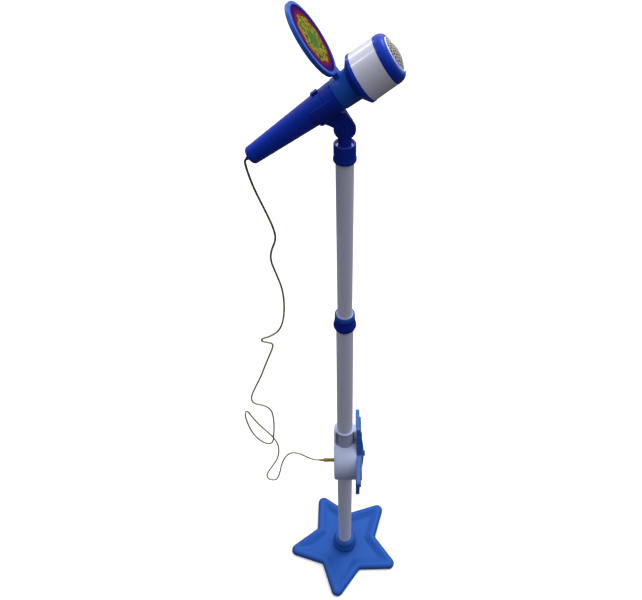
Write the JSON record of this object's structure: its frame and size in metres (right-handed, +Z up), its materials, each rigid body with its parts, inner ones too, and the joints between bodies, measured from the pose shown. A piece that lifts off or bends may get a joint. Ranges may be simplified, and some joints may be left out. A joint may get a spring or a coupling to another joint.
{
  "type": "toy microphone",
  "caption": "Toy microphone clipped to a telescopic floor stand with a star base, a star-fronted control box and a thin lead back to the box.",
  "frame": {"origin": "centre of the centre foot's underside, on the stand's axis", "axes": "+Z up along the stand, -Y towards the singer: the control panel and the microphone's head face -Y, and the microphone's pivot runs along X"},
  "size_m": [0.2196, 0.262, 1.0997],
  "materials": {
    "base_blue": "satin moulded plastic, mid blue",
    "panel_blue": "satin moulded plastic, bright blue",
    "deep_blue": "glossy moulded plastic, deep royal blue",
    "navy": "satin moulded plastic, navy blue",
    "light_blue": "satin moulded plastic, lighter blue",
    "pale_box": "satin moulded plastic, white with a blue cast",
    "tube_grey": "satin extruded plastic, silver grey",
    "sleeve_silver": "glossy plastic tube, silver white",
    "steel": "zinc-plated steel",
    "grille_metal": "perforated sheet metal",
    "bright_metal": "bright plated",
    "brass": "gold-plated brass",
    "plug_gold": "gold-coloured plastic",
    "cord_gold": "olive gold flexible PVC",
    "black_rubber": "soft rubber",
    "black_plastic": "matt moulded plastic",
    "foam": "open-cell foam",
    "board_green": "printed circuit board",
    "cell": "wrapped dry cell",
    "magnet": "ferrite and steel",
    "sticker": "printed film"
  },
  "bodies": {
    "stand": {"rubber_feet": "black_rubber", "base_cover": "base_blue", "base_screws": "steel", "base_weight": "magnet", "base_shell": "base_blue", "base_socket": "base_blue", "lower_tube": "tube_grey", "box_shell": "pale_box", "box_cover": "pale_box", "box_screws": "steel", "battery_tray": "black_plastic", "batteries": "cell", "battery_contacts": "bright_metal", "speaker_frame": "steel", "speaker_cone": "foam", "speaker_magnet": "magnet", "circuit_boards": "board_green", "jack_socket": "black_plastic", "power_switch_block": "black_plastic", "star_panel": "panel_blue", "speaker_grille": "panel_blue", "middle_tube": "tube_grey", "collar_bush": "pale_box", "cord_hanging": "cord_gold"},
    "panel_button": {"panel_button": "light_blue"},
    "power_switch": {"power_switch_knob": "black_plastic"},
    "battery_door": {"battery_door": "pale_box"},
    "jack_plug": {"plug_pin": "brass", "plug_body": "plug_gold", "plug_relief": "cord_gold", "cord_at_plug": "cord_gold"},
    "locking_collar": {"locking_collar": "navy"},
    "upper_mast": {"upper_tube": "tube_grey", "tube_stop": "black_plastic", "stem_seat": "black_plastic", "top_collar": "navy"},
    "swivel": {"swivel_stem": "navy", "cord_at_swivel": "cord_gold"},
    "clip": {"mic_clip": "navy", "pivot_bolt": "navy", "pivot_nut": "steel", "cord_at_clip": "cord_gold"},
    "microphone": {"handle_upper_shell": "deep_blue", "handle_lower_shell": "deep_blue", "handle_screws": "steel", "cord_grommet": "deep_blue", "switch_block": "black_plastic", "head_rear_shell": "deep_blue", "head_sleeve": "sleeve_silver", "head_front_ring": "deep_blue", "grille_ring": "bright_metal", "grille": "grille_metal", "windscreen_foam": "foam", "mic_capsule": "steel", "capsule_holder": "black_rubber", "cord_at_mic": "cord_gold"},
    "mic_switch": {"mic_switch_knob": "deep_blue"},
    "disc": {"neck_ring": "light_blue", "disc_plate": "light_blue", "disc_sticker": "sticker"}
  },
  "joints": [
    {"name": "panel_button_press", "type": "slide", "parent": "stand", "child": "panel_button", "axis": [0, 1, 0], "range_m": [0, 0.002], "stiffness_N_per_m": 300, "springref_m": -0.001},
    {"name": "power_switch_slide", "type": "slide", "parent": "stand", "child": "power_switch", "axis": [1, 0, 0], "range_m": [0, 0.0036]},
    {"name": "battery_door_lift", "type": "slide", "parent": "stand", "child": "battery_door", "axis": [0, 1, 0], "range_m": [0, 0.02]},
    {"name": "plug_pull", "type": "slide", "parent": "stand", "child": "jack_plug", "axis": [0, 1, 0], "range_m": [0, 0.018], "deforming": ["cord_at_plug"]},
    {"name": "collar_twist", "type": "hinge", "parent": "stand", "child": "locking_collar", "pos_m": [0, 0, 0.715], "axis": [0, 0, 1], "range_deg": [0, 60]},
    {"name": "height_slide", "type": "slide", "parent": "stand", "child": "upper_mast", "axis": [0, 0, 1], "range_m": [-0.15, 0.05], "deforming": ["cord_hanging"]},
    {"name": "stem_swivel", "type": "hinge", "parent": "upper_mast", "child": "swivel", "pos_m": [0, 0, 0.972], "axis": [0, 0, 1], "range_deg": [-90, 90], "deforming": ["cord_at_swivel"]},
    {"name": "clip_tilt", "type": "hinge", "parent": "swivel", "child": "clip", "pos_m": [0, 0, 0.9907], "axis": [-1, 0, 0], "range_deg": [-60, 45], "deforming": ["cord_at_clip"]},
    {"name": "mic_pull", "type": "slide", "parent": "clip", "child": "microphone", "axis": [0, -0.8103, 0.5859], "range_m": [0, 0.11], "deforming": ["cord_at_mic"]},
    {"name": "mic_switch_slide", "type": "slide", "parent": "microphone", "child": "mic_switch", "axis": [0, -0.8103, 0.5859], "range_m": [0, 0.003]},
    {"name": "disc_turn", "type": "hinge", "parent": "microphone", "child": "disc", "pos_m": [0, 0.0943, 0.9593], "axis": [0, -0.8103, 0.5859], "range_deg": [-90, 90]}
  ]
}
